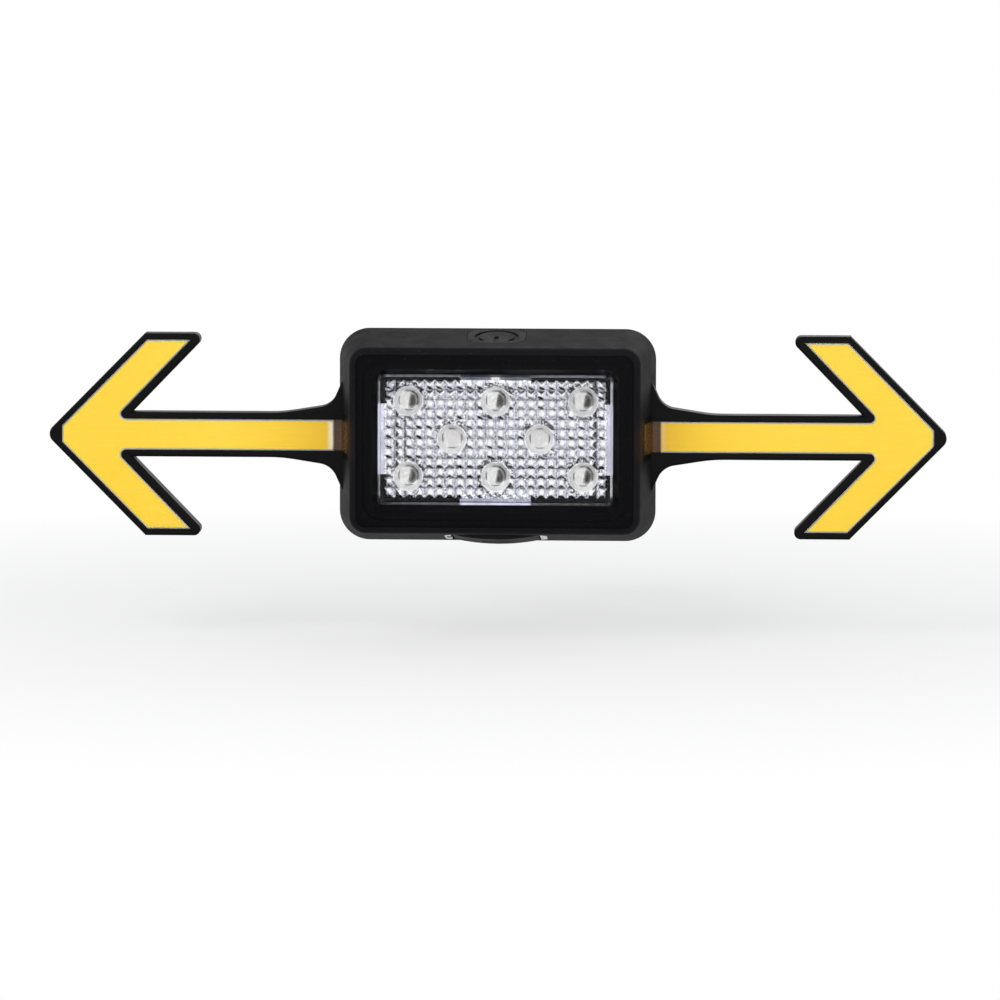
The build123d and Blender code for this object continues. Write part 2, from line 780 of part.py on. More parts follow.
with BuildPart() as tact_switch:
    with BuildSketch(at_depth(board_back + switch_thickness)):
        with Locations((0, switch_top - switch_height / 2)):
            Rectangle(switch_width, switch_height)
    extrude(amount=switch_thickness)
    with BuildSketch(Plane.XY.offset(switch_top)):
        with Locations((0, plunger_y)):
            Rectangle(switch_plunger_width + 2 * gap, switch_plunger_thickness + 2 * gap)
    extrude(amount=-(switch_plunger_length + gap), mode=Mode.SUBTRACT)

# Port surround: a pale insert, with a trough for the cover between two raised ends
with BuildPart() as port_surround:
    with BuildSketch(port_plane.offset(-port_floor)):
        RectangleRounded(port_width, port_length, port_corner)
    extrude(amount=port_floor - fit)
    with BuildSketch(port_plane.offset(-port_recess)):
        Rectangle(cover_width + 2 * cover_end_gap, port_length + overshoot)
    extrude(amount=port_recess + overshoot, mode=Mode.SUBTRACT)
    with BuildSketch(port_plane.offset(-boss_end)):
        with Locations((0, opening_y)):
            Rectangle(surround_boss_width, surround_boss_length)
    extrude(amount=boss_end - port_recess)
    with BuildSketch(port_plane.offset(-boss_end)):
        with Locations((0, opening_y)):
            RectangleRounded(plug_opening_width, plug_opening_length, plug_opening_length / 3)
    extrude(amount=boss_end, mode=Mode.SUBTRACT)
    with BuildSketch(port_plane.offset(-port_floor)):
        with Locations((strap_x, 0)):
            Rectangle(strap_length + 2 * fit, strap_width + 2 * fit)
    extrude(amount=port_floor + overshoot, mode=Mode.SUBTRACT)

with BuildPart() as port_cover_strap:
    with BuildSketch(port_plane.offset(-port_floor)):
        with Locations((strap_x, 0)):
            Rectangle(strap_length, strap_width)
    extrude(amount=port_floor - fit)

# Port cover: a crowned rubber flap with a rounded end at its hinge, a plug and grip grooves. Its
# section is drawn along the port's width, with depths below the housing's face as minus
cover_half = cover_width / 2
section_plane = Plane(
    origin=port_plane.origin, x_dir=port_plane.x_dir, z_dir=-port_plane.y_dir
)
with BuildPart() as port_cover:
    with BuildSketch(section_plane):
        with BuildLine():
            ThreePointArc((hinge_x, 0), (0, cover_crown), (cover_half, 0))
            Line((cover_half, 0), (cover_half, -port_recess + cover_seat))
            Line((cover_half, -port_recess + cover_seat), (hinge_x, -port_recess + cover_seat))
            RadiusArc((hinge_x, -port_recess + cover_seat), (hinge_x, 0), (port_recess - cover_seat) / 2)
        make_face()
    extrude(amount=cover_length / 2, both=True)
    with BuildSketch(port_plane.offset(-port_recess - cover_plug_height)):
        with Locations((0, opening_y)):
            RectangleRounded(
                plug_opening_width - 2 * gap,
                plug_opening_length - 2 * gap,
                plug_opening_length / 3 - gap,
            )
    extrude(amount=cover_plug_height + cover_seat)
    with BuildSketch(port_plane.offset(cover_crown - grip_depth)):
        with GridLocations(0, grip_pitch, 1, 3):
            Rectangle(grip_length, grip_width)
    extrude(amount=grip_depth + overshoot, mode=Mode.SUBTRACT)

# Charge socket: a folded metal shell, open downwards, round a plastic tongue
with BuildPart() as charge_socket:
    socket_y = socket_centre - rim
    with BuildSketch(Plane.XY.offset(socket_mouth_z)):
        with Locations((0, socket_y)):
            RectangleRounded(socket_width, socket_thickness, socket_thickness / 4)
    extrude(amount=socket_length)
    with BuildSketch(Plane.XY.offset(socket_mouth_z)):
        with Locations((0, socket_y)):
            RectangleRounded(
                socket_width - 2 * socket_shell,
                socket_thickness - 2 * socket_shell,
                socket_thickness / 4 - socket_shell,
            )
    extrude(amount=socket_length - socket_shell, mode=Mode.SUBTRACT)

with BuildPart() as charge_socket_tongue:
    with BuildSketch(Plane.XY.offset(socket_mouth_z + socket_length / 3)):
        with Locations((0, socket_y)):
            Rectangle(tongue_plate_width, tongue_plate_thickness)
    extrude(amount=socket_length * 2 / 3 - socket_shell)

# Battery: a sealed pouch on a foam pad, with two leads to a plug on the board
with BuildPart() as battery:
    with BuildSketch(at_depth(battery_front + battery_thickness)):
        RectangleRounded(battery_width, battery_height, battery_round)
    extrude(amount=battery_thickness)
    fillet(battery.edges().filter_by(Axis.Z), battery_round)

with BuildPart() as battery_pad:
    with BuildSketch(at_depth(cover_inside_back)):
        RectangleRounded(
            battery_width - 2 * battery_round, battery_height - 2 * battery_round, battery_round
        )
    extrude(amount=cover_inside_back - battery_front - battery_thickness)

lead_start_x = battery_width / 2
lead_end_x = lead_start_x + lead_reach
lead_y = battery_front + battery_thickness / 2 - rim
plug_back_y = board_back + plug_thickness - rim
with BuildPart() as battery_leads:
    for side in (-1, 1):
        z = lead_height + side * lead_spacing / 2
        with BuildLine() as route:
            FilletPolyline(
                (lead_start_x, lead_y, z),
                (lead_end_x, lead_y, z),
                (lead_end_x, plug_back_y, z),
                radius=lead_bend,
            )
        with BuildSketch(Plane(origin=route.line @ 0, z_dir=route.line % 0)):
            Circle(lead_diameter / 2)
        sweep(path=route.line)

with BuildPart() as battery_plug:
    with BuildSketch(at_depth(board_back + plug_thickness)):
        with Locations((lead_end_x, lead_height)):
            Rectangle(plug_width, plug_height)
    extrude(amount=plug_thickness)

# Rear cover: a drafted tray with a lip inside the housing, bosses for its screws, and on its back
# a channel that slides down over the bracket's tongue
cover_side_wall = wall + fit + cover_lip_width
tongue_space = tongue_thickness + 2 * gap
with BuildPart() as cover_lip:
    add(lamp_form(wall + fit, housing_depth - cover_lip_height))
    with BuildSketch(at_depth(housing_depth)):
        RectangleRounded(
            housing_width - 2 * cover_side_wall,
            housing_height - 2 * cover_side_wall,
            corner_radius - cover_side_wall,
        )
        with Locations((0, -housing_height / 2)):
            Rectangle(surround_boss_width + 2 * gap, 2 * cover_side_wall)
        with Locations((0, housing_height / 2)):
            Rectangle(button_width + 2 * (button_flange_reach + gap), 2 * cover_side_wall)
    extrude(amount=cover_lip_height, mode=Mode.SUBTRACT)

with BuildPart() as rear_cover:
    with BuildSketch(facing_post(parting)):
        RectangleRounded(housing_width, housing_height, corner_radius)
    extrude(amount=rear_cover_depth, taper=rear_draft_angle)
    fillet(rear_cover.faces().sort_by(Axis.Y)[-1].edges(), rear_round)
    with BuildSketch(facing_post(parting)):
        RectangleRounded(
            housing_width - 2 * cover_side_wall,
            housing_height - 2 * cover_side_wall,
            corner_radius - cover_side_wall,
        )
    extrude(amount=rear_cover_depth - rear_cover_wall, mode=Mode.SUBTRACT)
    add(cover_lip.part)
    with BuildSketch(facing_post(parting)):
        with GridLocations(2 * boss_x, 2 * boss_z, 2, 2):
            Circle(cover_screw_head_radius + rear_round / 2)
    extrude(amount=rear_cover_depth - rear_cover_wall)
    with BuildSketch(facing_post(rail_back)):
        with Locations((0, (gap + rail_wall) / 2)):
            RectangleRounded(
                tongue_width + 2 * (gap + rail_wall), tongue_height + gap + rail_wall, rail_round
            )
    extrude(amount=rail_back - cover_back)
    with BuildSketch(facing_post(cover_back)):
        with Locations((0, gap / 2 - overshoot / 2)):
            Rectangle(tongue_width + 2 * gap, tongue_height + gap + overshoot)
    extrude(amount=tongue_space, mode=Mode.SUBTRACT)
    neck_top = ring_height / 2 + gap
    slot_bottom = -tongue_height / 2 - overshoot
    with BuildSketch(facing_post(cover_back)):
        with Locations((0, (neck_top + slot_bottom) / 2)):
            Rectangle(neck_width + 2 * gap, neck_top - slot_bottom)
    extrude(amount=cover_back - rail_back, mode=Mode.SUBTRACT)
    with BuildSketch(facing_post(cover_back)):
        with GridLocations(2 * boss_x, 2 * boss_z, 2, 2):
            Circle(cover_screw_head_radius + gap)
    extrude(amount=-counterbore_depth, mode=Mode.SUBTRACT)
    with BuildSketch(facing_post(cover_back)):
        with GridLocations(2 * boss_x, 2 * boss_z, 2, 2):
            Circle(cover_screw_radius + fit)
    extrude(amount=-rear_cover_depth, mode=Mode.SUBTRACT)

with BuildPart() as cover_seal:
    add(seal_ring(fit))

with BuildPart() as cover_screws:
    with BuildSketch(facing_post(cover_back + counterbore_depth)):
        with GridLocations(2 * boss_x, 2 * boss_z, 2, 2):
            Circle(cover_screw_head_radius)
    extrude(amount=cover_screw_head_height)
    with BuildSketch(facing_post(cover_back + counterbore_depth)):
        with GridLocations(2 * boss_x, 2 * boss_z, 2, 2):
            Circle(cover_screw_radius)
    extrude(amount=-cover_screw_length)
    with BuildSketch(facing_post(cover_back + counterbore_depth - cover_screw_head_height)):
        with GridLocations(2 * boss_x, 2 * boss_z, 2, 2):
            Rectangle(cross_length, cross_width)
            Rectangle(cross_width, cross_length)
    extrude(amount=-cross_depth, mode=Mode.SUBTRACT)

# Bracket: a split ring with two ears behind it, and a neck with a tongue in front
with BuildPart() as bracket:
    with BuildSketch(Plane.XY.offset(-ring_height / 2)):
        Circle(ring_outer)
        with Locations((0, ear_end / 2)):
            Rectangle(2 * ear_outer, ear_end)
        with Locations((0, -tongue_back / 2)):
            Rectangle(neck_width, tongue_back)
        Circle(ring_inner, mode=Mode.SUBTRACT)
        with Locations((0, ear_end / 2)):
            Rectangle(clamp_slit, ear_end + overshoot, mode=Mode.SUBTRACT)
    extrude(amount=ring_height)
    fillet(bracket.edges().filter_by(Axis.X).group_by(Axis.Y)[-1], ear_round)
    with BuildSketch(Plane.XZ.offset(tongue_back)):
        RectangleRounded(tongue_width, tongue_height, tongue_corner)
    extrude(amount=tongue_thickness)
    chamfer(bracket.faces().sort_by(Axis.Y)[0].edges(), tongue_chamfer)
    with BuildSketch(Plane.YZ):
        with Locations((screw_y, 0)):
            Circle(clamp_screw_diameter / 2 + screw_clearance)
    extrude(amount=ear_outer, both=True, mode=Mode.SUBTRACT)
    with BuildSketch(Plane.YZ.offset(-ear_outer)):
        with Locations((screw_y, 0)):
            RegularPolygon(nut_width / 2 + fit, 6, major_radius=False)
    extrude(amount=nut_thickness, mode=Mode.SUBTRACT)

# Liner: a rubber sleeve in the ring, with a lip over each of its edges
with BuildPart() as bracket_liner:
    with BuildSketch(Plane.XY.offset(-ring_height / 2 - fit)):
        Circle(liner_outer)
    extrude(amount=ring_height + 2 * fit)
    for side in (-1, 1):
        with BuildSketch(Plane.XY.offset(side * (ring_height / 2 + fit))):
            Circle(liner_outer + liner_lip_reach)
        extrude(amount=side * liner_lip)
    with BuildSketch():
        Circle(post_diameter / 2)
        with Locations((0, liner_outer)):
            Rectangle(clamp_slit, 2 * liner_outer)
    extrude(amount=ring_height, both=True, mode=Mode.SUBTRACT)

head_x = ear_outer + washer_thickness + fit
with BuildPart() as clamp_washer:
    with BuildSketch(Plane.YZ.offset(ear_outer + fit)):
        with Locations((screw_y, 0)):
            Circle(washer_radius)
            Circle(clamp_screw_diameter / 2 + fit, mode=Mode.SUBTRACT)
    extrude(amount=washer_thickness - fit)

with BuildPart() as clamp_screw:
    with BuildSketch(Plane.YZ.offset(head_x)):
        with Locations((screw_y, 0)):
            Circle(screw_head_radius)
    extrude(amount=screw_head_height)
    with BuildSketch(Plane.YZ.offset(head_x)):
        with Locations((screw_y, 0)):
            Circle(clamp_screw_diameter / 2)
    extrude(amount=-clamp_screw_length)
    with BuildSketch(Plane.YZ.offset(head_x + screw_head_height)):
        with Locations((screw_y, 0)):
            RegularPolygon(hex_key / 2, 6, major_radius=False)
    extrude(amount=-hex_key_depth, mode=Mode.SUBTRACT)

with BuildPart() as clamp_nut:
    with BuildSketch(Plane.YZ.offset(-ear_outer)):
        with Locations((screw_y, 0)):
            RegularPolygon(nut_width / 2, 6, major_radius=False)
            Circle(clamp_screw_diameter / 2 + fit, mode=Mode.SUBTRACT)
    extrude(amount=nut_thickness - fit)

pieces = {
    "front_housing": front_housing,
    "inner_bezel": inner_bezel,
    "lens": lens,
    "lens_seal": lens_seal,
    "reflector": reflector,
    "led_domes": led_domes,
    "led_bases": led_bases,
    "led_board": led_board,
    "board_screws": board_screws,
    "board_components": board_components,
    "receiver_module": receiver_module,
    "side_leds": side_leds,
    "left_arrow_guide": left_arrow_guide,
    "right_arrow_guide": right_arrow_guide,
    "left_arrow_frame": left_arrow_frame,
    "right_arrow_frame": right_arrow_frame,
    "power_button": power_button,
    "switch_plunger": switch_plunger,
    "tact_switch": tact_switch,
    "port_surround": port_surround,
    "port_cover_strap": port_cover_strap,
    "port_cover": port_cover,
    "charge_socket": charge_socket,
    "charge_socket_tongue": charge_socket_tongue,
    "battery": battery,
    "battery_pad": battery_pad,
    "battery_leads": battery_leads,
    "battery_plug": battery_plug,
    "rear_cover": rear_cover,
    "cover_seal": cover_seal,
    "cover_screws": cover_screws,
    "bracket": bracket,
    "bracket_liner": bracket_liner,
    "clamp_screw": clamp_screw,
    "clamp_washer": clamp_washer,
    "clamp_nut": clamp_nut,
}
os.makedirs("parts", exist_ok=True)
for name, piece in pieces.items():
    piece.part.label = name
    export_step(piece.part, f"parts/{name}.step")
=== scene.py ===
import bpy
import bmesh
import json
from math import cos, pi, radians, sin
from mathutils import Matrix, Vector


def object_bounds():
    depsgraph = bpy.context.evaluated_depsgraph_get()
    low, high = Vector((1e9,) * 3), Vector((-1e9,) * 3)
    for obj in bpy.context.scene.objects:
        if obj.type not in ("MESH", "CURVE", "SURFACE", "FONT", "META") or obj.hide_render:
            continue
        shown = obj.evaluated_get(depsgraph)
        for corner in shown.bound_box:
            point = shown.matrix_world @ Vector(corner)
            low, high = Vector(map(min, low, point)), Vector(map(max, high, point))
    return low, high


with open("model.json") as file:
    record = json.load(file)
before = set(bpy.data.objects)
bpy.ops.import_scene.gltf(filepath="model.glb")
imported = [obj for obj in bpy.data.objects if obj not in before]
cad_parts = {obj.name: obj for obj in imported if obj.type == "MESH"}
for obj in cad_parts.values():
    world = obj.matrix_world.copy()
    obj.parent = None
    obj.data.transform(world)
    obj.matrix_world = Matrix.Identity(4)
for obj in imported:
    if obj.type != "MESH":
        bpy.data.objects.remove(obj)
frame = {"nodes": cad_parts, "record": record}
nodes = frame["nodes"]
cad_lo, cad_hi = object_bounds()
MM = 0.001
X, Y, Z = range(3)
WHITE = (1.0, 1.0, 1.0)

# The panel behind the lens, in millimetres: its grid of small pyramids and its eight cups
PANEL_WIDTH, PANEL_HEIGHT = 42.2, 22.5
COLUMNS, ROWS = 22, 12
CUP_X, CUP_Z = 16.55, 7.15
CUP_MOUTH = 2.85
# How far the edge of an LED's dark lead moves to the right for each step up
LEAD_SLANT = 0.18

# The amber guides, in millimetres from the lamp's middle to where each starts and ends
GUIDE_ROOT, GUIDE_TIP = 23.5, 85.0
# In parts of the guide's reach: where it leaves the housing, and where its pale band of painted highlight
# ends
GUIDE_ENTRY, GUIDE_HIGHLIGHT_END = 0.125, 0.143

# The painted amber glow, a brown tint on the housing's sides, in millimetres from where it starts to where it
# is full
GLOW_SIDE = (26.2, 29.5)
GLOW_LEVEL = (4.6, 2.2)
GLOW_FRONT = (-36.8, -38.8)

# The sockets of a mix node that carry colours
MIX_FIRST, MIX_SECOND, MIX_RESULT = 6, 7, 2
# A wave texture turns by this many radians over one unit at a scale of one
WAVE_RATE = 20.0


# Node helpers
class Graph:
    """Adds and links the nodes of one material or of the world."""

    def __init__(self, owner, output):
        owner.use_nodes = True
        self.owner = owner
        self.tree = owner.node_tree
        self.tree.nodes.clear()
        self.out = self.add(output)

    def add(self, kind, *values, setting=None, **named):
        """A new node: first its setting, then its inputs, in their order or by their names."""
        node = self.tree.nodes.new(kind)
        if setting:
            setattr(node, *setting)
        for socket, value in zip(node.inputs, values):
            self.put(socket, value)
        for key, value in named.items():
            self.put(node.inputs[key.replace("_", " ")], value)
        return node

    def put(self, socket, value):
        """Links an input to what feeds it, or sets its own value."""
        if isinstance(value, bpy.types.NodeSocket):
            self.tree.links.new(value, socket)
        elif socket.type == "RGBA":
            socket.default_value = (*value, 1.0)
        else:
            socket.default_value = value

    def math(self, operation, *values):
        return self.add("ShaderNodeMath", *values, setting=("operation", operation)).outputs[0]

    def fold(self, operation, first, *others):
        """Several values joined one after the other by the same operation."""
        for other in others:
            first = self.math(operation, first, other)
        return first

    def any_ray(self, *kinds):
        """One for a ray of any of these kinds, and zero for every other ray."""
        rays = self.add("ShaderNodeLightPath").outputs
        return self.fold("MAXIMUM", *(rays[kind] for kind in kinds))

    def blend(self, factor, first, second):
        """The first shader at a factor of zero, the second at one."""
        return self.add("ShaderNodeMixShader", factor, first.outputs[0], second.outputs[0])

    def finish(self, shader):
        self.put(self.out.inputs[0], shader.outputs[0])
        return self.owner


class Material(Graph):
    """The nodes of one material, placed by the object's own coordinates in metres."""

    def __init__(self, name):
        super().__init__(bpy.data.materials.new(name), "ShaderNodeOutputMaterial")
        self.texture = self.add("ShaderNodeTexCoord")
        self.coords = self.texture.outputs["Object"]

    def axis(self, index):
        """One of the coordinates."""
        return self.add("ShaderNodeSeparateXYZ", self.coords).outputs[index]

    def from_middle(self, index):
        """The distance to the middle plane along one axis."""
        return self.math("ABSOLUTE", self.axis(index))

    def facing(self, index):
        """How far the surface faces along one axis."""
        return self.add("ShaderNodeSeparateXYZ", self.texture.outputs["Normal"]).outputs[index]

    def scaled(self, scale, rotation=(0.0, 0.0, 0.0)):
        return self.add("ShaderNodeMapping", self.coords, Scale=scale, Rotation=rotation).outputs[0]

    def length(self, side, rise):
        """The length of a step given by its two parts."""
        squares = self.math("ADD", self.math("MULTIPLY", side, side), self.math("MULTIPLY", rise, rise))
        return self.math("SQRT", squares)

    def centred(self, value, pitch):
        """The offset from the nearest multiple of a pitch, in parts of the pitch."""
        shifted = self.math("MULTIPLY_ADD", value, 1.0 / pitch, 0.5)
        return self.math("SUBTRACT", self.math("FRACT", shifted), 0.5)

    def noise(self, size_mm, detail=2.0, rough=0.5, vector=None, distortion=0.0):
        return self.add(
            "ShaderNodeTexNoise", Vector=vector or self.coords, Scale=1.0 / (size_mm * MM), Detail=detail,
            Roughness=rough, Distortion=distortion,
        ).outputs["Fac"]

    def cells(self, size_mm):
        """The distance to the middle of the nearest of many scattered cells."""
        scale = 1.0 / (size_mm * MM)
        return self.add("ShaderNodeTexVoronoi", Vector=self.coords, Scale=scale).outputs["Distance"]

    def chances(self, x, y):
        """Three random values that are the same all over one cell."""
        cell = self.add("ShaderNodeCombineXYZ", x, y)
        noise = self.add("ShaderNodeTexWhiteNoise", Vector=cell.outputs[0])
        return self.add("ShaderNodeSeparateColor", noise.outputs["Color"]).outputs

    def spread(self, value, low, high, out_low=0.0, out_high=1.0):
        """Puts the range from low to high onto another range, and stays within it."""
        return self.add(
            "ShaderNodeMapRange", Value=value, From_Min=low, From_Max=high, To_Min=out_low, To_Max=out_high,
        ).outputs[0]

    def between(self, share, low, high):
        """A share from zero to one, put between two other values."""
        return self.spread(share, 0.0, 1.0, low, high)

    def gloss(self, pattern, roughness, less=0.05, more=0.07, low=0.3, high=0.7):
        """A roughness that goes a little down and up with a pattern."""
        return self.spread(pattern, low, high, roughness - less, roughness + more)

    def ramp(self, value, *stops):
        node = self.add("ShaderNodeValToRGB", value)
        ramp = node.color_ramp
        while len(ramp.elements) < len(stops):
            ramp.elements.new(0.5)
        for element, (place, color) in zip(ramp.elements, stops):
            element.position = place
            element.color = (*color, 1.0)
        return node.outputs["Color"]

    def mix(self, factor, first, second):
        """The first colour at a factor of zero, the second at one."""
        node = self.add("ShaderNodeMix", factor, setting=("data_type", "RGBA"))
        self.put(node.inputs[MIX_FIRST], first)
        self.put(node.inputs[MIX_SECOND], second)
        return node.outputs[MIX_RESULT]

    def cover(self, tone, mask, strength, color):
        """Lays a colour over a tone where the mask is, at some strength."""
        return self.mix(self.math("MULTIPLY", mask, strength), tone, color)

    def bump(self, height, depth_mm, strength, normal=None):
        node = self.add("ShaderNodeBump", Height=height, Distance=depth_mm * MM, Strength=strength)
        if normal:
            self.put(node.inputs["Normal"], normal)
        return node.outputs[0]

    def shader(self, **inputs):
        return self.add("ShaderNodeBsdfPrincipled", **inputs)

    def see_through(self, glass, color):
        """Glass that lets shadow rays and soft light straight through, so what it covers stays lit."""
        clear = self.add("ShaderNodeBsdfTransparent", Color=color)
        passes = self.any_ray("Is Shadow Ray", "Is Diffuse Ray")
        return self.finish(self.blend(passes, glass, clear))


def times(color, share, lift=0.0):
    return tuple(part * share + lift for part in color)


# Materials
def moulded(name, dark, light, roughness, grain_mm, grain_depth, specular=0.5, glow=False):
    """Moulded plastic: a fine etched grain, slow changes of tone and gloss, and rubbed spots.

    With glow, the sides take a painted amber glow: a brown tint round the places where the amber guides
    enter.
    """
    g = Material(name)
    grain = g.noise(grain_mm, detail=3.0, rough=0.65)
    slow = g.noise(11.0, detail=3.0)
    smear = g.noise(4.0, detail=4.0, distortion=0.6)
    dust = g.spread(g.noise(0.35, detail=1.0), 0.70, 0.80)
    tone = g.cover(g.mix(slow, dark, light), dust, 0.16, (0.16, 0.155, 0.15))
    if glow:
        # Painted amber glow: brown laid on the black sides round where the guides enter
        near = g.fold(
            "MULTIPLY",
            g.spread(g.from_middle(X), *times(GLOW_SIDE, MM)),
            g.spread(g.from_middle(Z), *times(GLOW_LEVEL, MM)),
            g.spread(g.axis(Y), *times(GLOW_FRONT, MM)),
        )
        tone = g.mix(near, tone, (0.048, 0.026, 0.013))
    rough = g.math("ADD", g.gloss(smear, roughness, high=0.75), g.math("MULTIPLY", dust, 0.2))
    return g.finish(g.shader(
        Base_Color=tone, Roughness=rough, Normal=g.bump(grain, grain_depth, 0.8), Specular_IOR_Level=specular,
    ))


def rubber(name, color, roughness=0.75, grain_mm=0.22, rib_mm=0.0, sheen=0.15):
    """Rubber: a fine grain and pale specks, and level ribs where asked."""
    g = Material(name)
    grain = g.noise(grain_mm, detail=4.0, rough=0.7)
    slow = g.noise(6.0, detail=3.0)
    speck = g.spread(g.noise(0.5, detail=1.0), 0.72, 0.82)
    tone = g.cover(g.mix(slow, color, times(color, 1.5, 0.001)), speck, 0.15, (0.2, 0.19, 0.18))
    normal = g.bump(grain, 0.02, 0.7)
    if rib_mm:
        scale = pi / (rib_mm * MM * WAVE_RATE)
        wave = g.add("ShaderNodeTexWave", g.coords, setting=("bands_direction", "Z"), Scale=scale)
        normal = g.bump(wave.outputs["Fac"], 0.25, 0.9, normal)
    return g.finish(g.shader(
        Base_Color=tone, Roughness=g.gloss(slow, roughness, 0.06, 0.08), Normal=normal, Sheen_Weight=sheen,
        Sheen_Roughness=0.5, Specular_IOR_Level=0.08,
    ))


def steel(name, color, roughness, brush):
    """Plated steel: brushed lines, a cloud of duller tone and a few brown spots."""
    g = Material(name)
    lines = g.noise(0.09, detail=3.0, rough=0.6, vector=g.scaled(brush))
    cloud = g.noise(1.6, detail=3.0)
    spots = g.spread(g.noise(0.3, detail=1.0), 0.68, 0.76)
    tone = g.cover(g.mix(cloud, times(color, 0.8), color), spots, 0.4, (0.3, 0.27, 0.22))
    return g.finish(g.shader(
        Base_Color=tone, Metallic=1.0, Roughness=g.gloss(lines, roughness, 0.08, 0.12, 0.2, 0.8),
        Normal=g.bump(lines, 0.01, 0.5),
    ))


def lens_clear(name):
    """Clear moulded plastic with a coated face; its bevelled edge is hazy, and painted reflections tint it:
    dark on the top bevel, pale grey on the lower one, palest on the sides.
    """
    g = Material(name)
    waves = g.noise(6.0, detail=1.0)
    marks = g.noise(0.5, detail=2.0, vector=g.scaled((1.0, 1.0, 12.0), (0.0, radians(24), 0.0)))
    edge = g.spread(g.math("ABSOLUTE", g.facing(Y)), 0.96, 0.80)
    sides = g.spread(g.math("ABSOLUTE", g.facing(X)), 0.2, 0.6)
    below = g.spread(g.facing(Z), -0.2, -0.6)
    # Painted reflections on the bevel: pale where it faces down, palest on the sides, dark on the top
    edge_painted_reflection = g.mix(below, (0.06, 0.06, 0.068), (0.60, 0.60, 0.64))
    edge_painted_reflection = g.mix(sides, edge_painted_reflection, (0.85, 0.86, 0.89))
    glass = g.shader(
        Base_Color=g.mix(edge, (0.98, 0.985, 0.99), edge_painted_reflection),
        Roughness=g.math("ADD", g.spread(marks, 0.55, 0.8, 0.015, 0.07), g.math("MULTIPLY", edge, 0.4)),
        Transmission_Weight=1.0, IOR=1.49, Normal=g.bump(waves, 0.02, 0.15),
        Specular_Tint=(0.22, 0.22, 0.24),
    )
    return g.see_through(glass, (0.99, 0.99, 0.99))


def cup_distance(g):
    """The distance to the nearest cup's middle, from one quarter of the panel folded onto all four."""
    x, z = g.from_middle(X), g.from_middle(Z)
    return g.fold("MINIMUM", *(
        g.length(g.math("SUBTRACT", x, cup_x * MM), g.math("SUBTRACT", z, cup_z * MM))
        for cup_x, cup_z in ((CUP_X, CUP_Z), (0.0, CUP_Z), (CUP_X / 2, 0.0))
    ))


def spot(g, side, rise, width, height):
    """A soft-edged oval around a cell's point, from its offsets in parts of the pitch."""
    return g.spread(g.length(g.math("DIVIDE", side, width), g.math("DIVIDE", rise, height)), 1.25, 0.7)


def pyramid_painted_light(g, patch, glitter):
    """Painted light on each small pyramid: a painted highlight above and a painted shade below, in places
    that differ a little.
    """
    across = g.math("MULTIPLY_ADD", g.axis(X), COLUMNS / (PANEL_WIDTH * MM), COLUMNS / 2)
    up = g.math("MULTIPLY_ADD", g.axis(Z), ROWS / (PANEL_HEIGHT * MM), ROWS / 2)
    first, second, third = g.chances(g.math("FLOOR", across), g.math("FLOOR", up))
    side = g.math("SUBTRACT", g.math("FRACT", across), 0.5)
    rise = g.math("SUBTRACT", g.math("FRACT", up), 0.5)
    moved = g.math("ADD", side, g.between(first, -0.09, 0.09))
    lifted = g.math("ADD", g.math("SUBTRACT", rise, 0.12), g.between(second, -0.07, 0.07))
    shine = spot(g, moved, lifted, g.between(third, 0.18, 0.27), g.between(second, 0.26, 0.36))
    slanted = g.math("ADD", rise, g.math("MULTIPLY_ADD", side, 0.35, 0.34))
    shade = spot(g, moved, slanted, 0.30, g.between(third, 0.10, 0.17))

    # Painted shade along the grooves between the pyramids
    edge = g.math("MAXIMUM", g.math("ABSOLUTE", side), g.math("ABSOLUTE", rise))
    groove_shade = g.math("MULTIPLY", g.spread(edge, 0.40, 0.49), g.spread(glitter, 0.42, 0.6, 0.1, 0.75))
    tone = g.mix(patch, (0.38, 0.385, 0.44), (0.88, 0.89, 0.98))
    tone = g.mix(groove_shade, tone, (0.09, 0.09, 0.105))
    # Painted dark reflections and painted glints scattered over the plating
    tone = g.cover(tone, g.spread(glitter, 0.58, 0.66), 0.6, (0.06, 0.06, 0.065))
    tone = g.cover(tone, g.spread(glitter, 0.42, 0.35), 0.8, WHITE)
    tone = g.mix(shine, tone, WHITE)
    # Painted shade below each point, at full strength in the top row
    top_row = g.spread(g.axis(Z), 8.6 * MM, 9.4 * MM)
    dark = g.math("MAXIMUM", g.spread(first, 0.35, 0.75, 0.25, 1.0), top_row)
    return g.cover(tone, shade, dark, (0.004, 0.004, 0.005))


